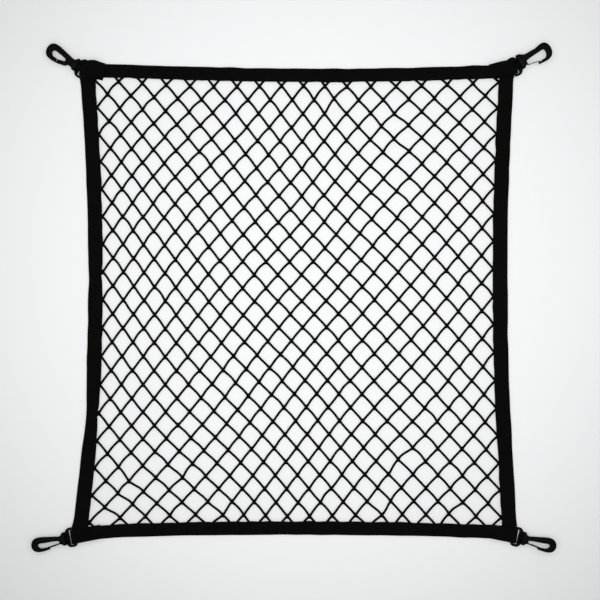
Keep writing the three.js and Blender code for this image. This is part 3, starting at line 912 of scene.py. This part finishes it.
def stitches(path, pitch, thread):
    """Places for a row of stitches along a path of points."""
    carried = pitch / 2
    size = Vector((thread / 2, thread / 2, pitch * SEAM_LENGTH / 2))
    for start, stop in zip(path, path[1:]):
        heading = stop - start
        turn = Vector(heading.to_track_quat("Z", "Y").to_euler())
        while carried < heading.length:
            yield start + heading.normalized() * carried, turn, size
            carried += pitch
        carried -= heading.length


def band_seam(side, top):
    """Path of the seam along a band's open edge, on its upper or its lower face."""
    width = band_width(side)
    tape = bpy.context.scene.cargo_webbing.tape / MM
    rise = (SEAM_TOP + tape / 2 - SEAM_SUNK) if top else SEAM_BOTTOM
    column = (width - SEAM_INSET, FOLD_MIDDLE, 0)
    ripples = band_ripples(side)
    start, stop = band_ends(side)
    hidden = 0 if side in ("top", "bottom") else UNDER_END + 2
    path = []
    for i in range(SEAM_POINTS + 1):
        along = lerp(start + hidden, stop - hidden, i / SEAM_POINTS)
        point = Vector(band_point(side, width, column, along, ripples))
        lift, squeeze = band_state(side, along)
        point.z = lift + FOLD_MIDDLE + (rise - FOLD_MIDDLE) * squeeze
        if all((point - spot).dot(normal) < -SEAM_MARGIN for spot, normal in cut_planes(side)):
            path.append(point)
    return path


def loop_seams(corner):
    """Paths of a loop's seams on top of the strap: three sides of a box and a zigzag inside it."""
    _, length = loop_path(corner)
    near, far, half = LOOP_SEAM_NEAR, length - LOOP_SEAM_FAR, LOOP_WIDTH / 2 - LOOP_SEAM_SIDE
    middle = (near + far) / 2
    box = [(near, half), (far, half), (far, -half), (near, -half)]
    zigzag = [(near, half), (middle, -half), (far, half), (far, -half), (middle, half)]
    for outline in (box, zigzag):
        yield [Vector(loop_point(corner, along, LOOP_SEAM_UP, offset, length)) for along, offset in outline]


class CARGO_OT_stitching(bpy.types.Operator):
    """Sews the bands along their open edges and the loops to the corners"""

    bl_idname = "cargo_net.stitching"
    bl_label = "Stitching"

    def execute(self, context):
        settings = context.scene.cargo_webbing
        pitch, thread = settings.stitch / MM, settings.thread / MM
        thread_look = known("Sewing thread", thread_material)
        seams = {f"seam_{side}": ([band_seam(side, top) for top in (True, False)], pitch) for side in CENTRE}
        seams.update({f"loop_seam_{name}": (loop_seams(corner), pitch * LOOP_PITCH)
                      for name, corner in CORNERS.items()})
        for name, (paths, spacing) in seams.items():
            places = [place for path in paths for place in stitches(path, spacing, thread)]
            dress(placed_balls(name, places, *STITCH_FACES), "net", thread_look, "webbing")
        return {"FINISHED"}


# ---- Hooks, eyes and tongues ----
SMOOTH, CORNER = "AUTO", "VECTOR"
HOOK_THICKNESS = 8
EYE_THICKNESS = 3.6
# The tongue's hinge beside the swivel axis, its root's and its pocket's radius, its thickness, width
# and length, how far its tip lies over the nose's outer edge, the angle that the pocket lets it open
# to, in degrees, the room round it in the pocket and past its tip, and the rounding of its edges.
TONGUE = {"pivot": -4, "root": 1.2, "pocket": 1.5, "thickness": 1.4, "width": 5.4, "reach": 18.6,
          "over_nose": 3.4, "open": 8, "room": 0.3, "swing_room": 0.25, "edge": 0.3}
NOSE_START = 15.5      # the nose's inner corner, along the swivel axis
NOSE_TOP = 2.4         # height of the nose's inner face over its outer edge
NOSE_RUN = 3.4         # length over which that face follows the shut tongue's slope to the corner
NOSE_LIP = 1.0         # height of the nose's tip over its outer edge
SPIN_STEPS = 32        # faces round a turned form


def flat_form(name, rings, thickness, edge):
    """A moulded form: closed outlines of (x, y, handle) filled and thickened, with round edges."""
    outline = bpy.data.curves.new(name, "CURVE")
    outline.dimensions = "2D"
    outline.fill_mode = "BOTH"
    outline.resolution_u = 6
    outline.extrude = (thickness / 2 - edge) * MM
    outline.bevel_depth = edge * MM
    outline.bevel_resolution = 3 if edge > 0.01 else 0
    outline.offset = -edge * MM
    for ring in rings:
        spline = outline.splines.new("BEZIER")
        spline.use_cyclic_u = True
        spline.bezier_points.add(len(ring) - 1)
        for point, (x, y, handle) in zip(spline.bezier_points, ring):
            point.co = (x * MM, y * MM, 0)
            point.handle_left_type = point.handle_right_type = handle
    drawn = new_object(name + "_outline", outline)
    mesh = final_mesh(drawn)
    bpy.data.objects.remove(drawn)
    bm = bmesh.new()
    bm.from_mesh(mesh)
    bpy.data.meshes.remove(mesh)
    bmesh.ops.remove_doubles(bm, verts=bm.verts, dist=0.005 * MM)
    bmesh.ops.dissolve_degenerate(bm, edges=bm.edges, dist=0.002 * MM)
    return finish_bmesh(name, bm, smooth_angle=30)


def turned_form(name, profile):
    """A round form about the X axis, spun from a profile of (along, radius) that ends on the axis."""
    bm = bmesh.new()
    verts = [bm.verts.new((x * MM, radius * MM, 0)) for x, radius in profile]
    edges = [bm.edges.new(pair) for pair in zip(verts, verts[1:])]
    bmesh.ops.spin(bm, geom=verts + edges, cent=(0, 0, 0), axis=(1, 0, 0), angle=2 * math.pi,
                   steps=SPIN_STEPS, use_merge=True)
    bmesh.ops.remove_doubles(bm, verts=bm.verts, dist=0.01 * MM)
    return finish_bmesh(name, bm, smooth_angle=30)


def combined(base, other, operation):
    """Joins another form to a piece or cuts it out, and uses the other form up."""
    change = base.modifiers.new("Join", "BOOLEAN")
    change.operation = operation
    change.object = other
    change.solver = "EXACT"
    settled(base)
    used = other.data
    bpy.data.objects.remove(other)
    bpy.data.meshes.remove(used)


def corner_place(corner, flipped):
    """Takes a form from the swivel's own frame to its corner of the net."""
    place = Matrix.Translation(Vector((*corner["foot"], AXIS_Z)) * MM)
    place = place @ Matrix.Rotation(math.radians(corner["turn"]), 4, "Z")
    return place @ Matrix.Rotation(math.pi, 4, "X") if flipped and corner["flip"] else place


def tongue_angle(nose):
    """Angle to the swivel axis at which the shut tongue lies."""
    return math.atan2(TONGUE["over_nose"] - nose - TONGUE["pivot"], TONGUE["reach"])


def nose_catch(nose):
    """Height of the nose's inner corner, and its distance from the tongue's root."""
    height = NOSE_TOP - nose - NOSE_RUN * math.tan(tongue_angle(nose))
    return height, math.hypot(NOSE_START, height - TONGUE["pivot"])


def chord(radius, height):
    """How far along a circle of that radius is at that height."""
    return math.sqrt(radius * radius - height * height)


def hook_outline(corner):
    """The hook round its mouth, from its foot over the spine and the curve to the nose and back."""
    nose, web, up = corner["nose"], corner["web"], corner["shoulder"]
    inner = corner["wall"] - nose
    catch, swing = nose_catch(nose)
    lip = NOSE_LIP - nose
    return [
        (-7.7, -8.0, CORNER), (-7.7, 8.0 + up, CORNER), (-6.8, 8.9 + up, CORNER),
        (0.8 * up - 4.6, 8.8 + 0.75 * up, CORNER), (1.2 * up - 0.8, 4.9 + 0.9 * up, SMOOTH),
        (7, 5.6 + 0.5 * up, SMOOTH), (13, 6.6 + 0.15 * up, SMOOTH), (20, 7.9 - 0.3 * up, SMOOTH),
        (27, 8.8 - 0.15 * up, SMOOTH), (33.2, 8.0, SMOOTH), (37, 4.8, SMOOTH), (38.8, -0.8, SMOOTH),
        (38.3, -nose * 0.4, SMOOTH), (36.4, -nose * 0.7, SMOOTH), (33, -nose * 0.91, SMOOTH),
        (28, -nose, SMOOTH), (21.8, 0.1 - nose, SMOOTH), (chord(swing, lip - TONGUE["pivot"]), lip, CORNER),
        (NOSE_START, catch, CORNER), (19.6, NOSE_TOP - nose, CORNER), (20, inner, CORNER),
        (26, inner + 0.2, SMOOTH), (29, inner * 0.72, SMOOTH), (30.2, inner * 0.38, SMOOTH),
        (29.8, -0.6, SMOOTH), (28, 0.4, SMOOTH), (22, 0.2, SMOOTH), (web + 4, -0.8, SMOOTH),
        (web + 1, -1.4, SMOOTH), (web, -2.4, SMOOTH), (web, -5.2, CORNER), (web - 0.8, -6.0, CORNER),
        (-1.4, -6.4, CORNER), (-4.2, -8.8, CORNER), (-6.8, -8.9, CORNER),
    ]


def pocket_outline(corner):
    """The recess that the tongue's root turns in, open towards the mouth."""
    shut = tongue_angle(corner["nose"])
    low = TONGUE["thickness"] / 2 + max(corner["ridge"], 0) + corner["drop"] + TONGUE["room"]
    high = corner["leaf"] + TONGUE["room"]
    ring = []
    for angle, off in ((shut, -low), (math.radians(TONGUE["open"]), high)):
        along = Vector((math.cos(angle), math.sin(angle)))
        ends = [along.orthogonal() * off + along * reach for reach in (TONGUE["root"], corner["web"] + 6)]
        ring += ends if off < 0 else ends[::-1]
    first, last = (math.degrees(math.atan2(spot.y, spot.x)) % 360 for spot in (ring[-1], ring[0]))
    ring += [direction(lerp(first, last, i / 8)) * TONGUE["pocket"] for i in range(9)]
    return [(spot.x, spot.y + TONGUE["pivot"], CORNER) for spot in ring]


def tongue_outline(corner):
    """The tongue, from its round root to its blunt tip, turned about its root to lie behind the nose."""
    reach, root, leaf, drop = TONGUE["reach"], TONGUE["root"], corner["leaf"], corner["drop"]
    under = -min(TONGUE["thickness"] / 2, leaf)
    ridge = under - corner["ridge"] if corner["ridge"] > 0 else under
    swing = nose_catch(corner["nose"])[1] - TONGUE["swing_room"]
    flat = [(-root, 0, SMOOTH), (-0.7 * root, -0.7 * root, SMOOTH), (0, -root, SMOOTH),
            (2.2, under - drop, SMOOTH), (8, ridge - 0.55 * drop, SMOOTH),
            (13.2, ridge - 0.2 * drop, SMOOTH), (chord(swing, ridge), ridge, CORNER),
            (chord(swing, under), under - 0.1 * drop, CORNER), (reach + 0.3, under, CORNER),
            (reach + 0.6, under + 0.3, CORNER), (reach + 0.6, leaf - 0.4, CORNER),
            (reach + 0.2, leaf, CORNER), (8, leaf - 0.55 * drop, SMOOTH),
            (2.6, leaf - drop, SMOOTH), (0.6, root * 0.8, SMOOTH), (-0.5 * root, 0.85 * root, SMOOTH)]
    angle = tongue_angle(corner["nose"])
    cos, sin = math.cos(angle), math.sin(angle)
    return [(x * cos - y * sin, x * sin + y * cos + TONGUE["pivot"], handle) for x, y, handle in flat]


def both_sides(half):
    """A closed outline from its half above the axis."""
    return half + [(x, -y, handle) for x, y, handle in reversed(half)]


def eye_outline():
    return both_sides([(-8, 8.7, CORNER), (-11.6, 12.4, SMOOTH), (-14, 13.2, CORNER), (-18, 13.2, CORNER),
                       (-20.4, 12.5, SMOOTH), (-21.9, 10.9, SMOOTH), (-22.5, 8.7, CORNER)])


def slot_outline():
    return both_sides([(-14, 9.4, CORNER), (-14.5, 9.9, CORNER), (-18.1, 9.9, CORNER), (-18.6, 9.4, CORNER)])


# Round forms about the swivel axis, as (along, radius): the eye's boss, the bore in it and the
# hook's shank.
BOSS = [(-14, 0), (-14, 3.6), (-13.6, 4), (-8.5, 4), (-8, 3.5), (-8, 0)]
BORE = [(-12.7, 0), (-12.7, 3.1), (-9.5, 3.1), (-9.5, 2.3), (-7, 2.3), (-7, 0)]
SHANK = [(-12.4, 0), (-12.4, 2.4), (-12, 2.8), (-9.8, 2.8), (-9.8, 2), (-6, 2), (-6, 0)]


class CARGO_OT_hooks(bpy.types.Operator):
    """Moulds the strap eyes, hooks and spring tongues at the four corners"""

    bl_idname = "cargo_net.hooks"
    bl_label = "Hooks"

    def execute(self, context):
        edge = context.scene.cargo_fittings.edge / MM
        plastic = known("Moulded plastic", plastic_material)
        for name, corner in CORNERS.items():
            eye = flat_form(f"strap_eye_{name}", [eye_outline(), slot_outline()], EYE_THICKNESS, edge)
            combined(eye, turned_form("boss", BOSS), "UNION")
            combined(eye, turned_form("bore", BORE), "DIFFERENCE")
            eye.data.transform(corner_place(corner, False))
            dress(eye, "net", plastic, "plastic", f"eye_{name}")

            hook = flat_form(f"snap_hook_{name}", [hook_outline(corner)], HOOK_THICKNESS, edge)
            pocket = flat_form("pocket", [pocket_outline(corner)], TONGUE["width"] + 2 * TONGUE["room"], 0)
            combined(hook, pocket, "DIFFERENCE")
            combined(hook, turned_form("shank", SHANK), "UNION")
            hook.data.transform(corner_place(corner, True))
            dress(hook, f"hook_{name}", plastic, "plastic", f"hook_{name}")

            tongue = flat_form(f"spring_tongue_{name}", [tongue_outline(corner)], TONGUE["width"],
                               TONGUE["edge"])
            tongue.data.transform(corner_place(corner, True))
            dress(tongue, f"gate_{name}", plastic, "plastic", f"gate_{name}")
        return {"FINISHED"}


# ---- Stage ----
# Places and sizes of the stage are metres, and lamps' energies watts.
VIEW_MIDDLE = (8.25 * MM, -3.05 * MM)   # the point of the net under the camera
SENSOR = 36            # width of the camera's film, in millimetres
FLOOR_REACH = 4
SPOT_PLACE = (0, 0, 3.3)
SPOT_AIM = (0.03, 0.06, 0)
SPOT_ENERGY = 258
SPOT_CONE = 29.2       # degrees from side to side
SPOT_SOFTNESS = 0.3
FILL_REACH = 0.8       # the four soft lamps stand this far out each way
FILL_HEIGHT = 1.7
FILL_SIZE = 1.2
FILL_ENERGY = 3.6
WORLD_LIGHT = 0.25


def floor_material(name):
    return Shader(name, bpy.context.scene.cargo_stage.floor, roughness=0.9, specular=0.1).material


class CARGO_OT_stage(bpy.types.Operator):
    """Sets the pale floor, the soft lights and the camera straight above the net"""

    bl_idname = "cargo_net.stage"
    bl_label = "Stage"

    def execute(self, context):
        settings, scene = context.scene.cargo_stage, context.scene
        bm = bmesh.new()
        bmesh.ops.create_grid(bm, x_segments=1, y_segments=1, size=FLOOR_REACH)
        floor = finish_bmesh("floor", bm)
        floor.data.materials.append(known("Pale floor", floor_material))
        ways = (-FILL_REACH, FILL_REACH)
        lights = [("SPOT", SPOT_PLACE, SPOT_AIM, SPOT_ENERGY)]
        lights += [("AREA", (x, y, FILL_HEIGHT), (0, 0, 0), FILL_ENERGY) for x in ways for y in ways]
        for kind, place, aim, energy in lights:
            lamp = bpy.data.lights.new(kind.lower(), kind)
            lamp.energy = energy
            if kind == "AREA":
                lamp.size = FILL_SIZE
            else:
                lamp.shadow_soft_size = SPOT_SOFTNESS
                lamp.spot_size = math.radians(SPOT_CONE)
                lamp.spot_blend = 1
            holder = bpy.data.objects.new(lamp.name, lamp)
            holder.location = place
            holder.rotation_euler = (Vector(place) - Vector(aim)).to_track_quat("Z", "Y").to_euler()
            scene.collection.objects.link(holder)
        world = bpy.data.worlds.new("Studio")
        world.use_nodes = True
        background = world.node_tree.nodes["Background"].inputs
        background["Color"].default_value = (1, 1, 1, 1)
        background["Strength"].default_value = WORLD_LIGHT
        scene.world = world
        scene.view_settings.view_transform = "Standard"
        camera = bpy.data.cameras.new("camera")
        camera.lens = settings.lens
        camera.sensor_width = SENSOR
        holder = bpy.data.objects.new("camera", camera)
        distance = settings.view_width * settings.lens / SENSOR
        holder.location = (*VIEW_MIDDLE, distance)
        scene.collection.objects.link(holder)
        scene.camera = holder
        return {"FINISHED"}


class CARGO_PT_panel(bpy.types.Panel):
    """Lists the pieces of the cargo net and their sizes"""

    bl_idname = "CARGO_PT_panel"
    bl_label = "Cargo Net"
    bl_space_type = "VIEW_3D"
    bl_region_type = "UI"
    bl_category = "Cargo Net"

    def draw(self, context):
        for settings, steps in PANEL_ROWS:
            group = getattr(context.scene, settings)
            for name in group.bl_rna.properties.keys():
                if name not in ("rna_type", "name"):
                    self.layout.prop(group, name)
            for step in steps:
                self.layout.operator(step.bl_idname)


PANEL_ROWS = (
    ("cargo_mesh", (CARGO_OT_mesh,)),
    ("cargo_webbing", (CARGO_OT_bands, CARGO_OT_loops, CARGO_OT_stitching)),
    ("cargo_fittings", (CARGO_OT_hooks,)),
    ("cargo_stage", (CARGO_OT_stage,)),
)
SETTINGS = {"cargo_mesh": MeshProperties, "cargo_webbing": WebbingProperties,
            "cargo_fittings": FittingProperties, "cargo_stage": StageProperties}
CLASSES = (*SETTINGS.values(), CARGO_OT_mesh, CARGO_OT_bands, CARGO_OT_loops, CARGO_OT_stitching,
           CARGO_OT_hooks, CARGO_OT_stage, CARGO_PT_panel)


def register():
    for cls in CLASSES:
        bpy.utils.register_class(cls)
    for name, group in SETTINGS.items():
        setattr(bpy.types.Scene, name, PointerProperty(type=group))


def unregister():
    for name in SETTINGS:
        delattr(bpy.types.Scene, name)
    for cls in reversed(CLASSES):
        bpy.utils.unregister_class(cls)


def main():
    register()
    bpy.ops.cargo_net.stage()
    bpy.ops.cargo_net.mesh()
    bpy.ops.cargo_net.bands()
    bpy.ops.cargo_net.loops()
    bpy.ops.cargo_net.stitching()
    bpy.ops.cargo_net.hooks()


if __name__ == "__main__":
    main()
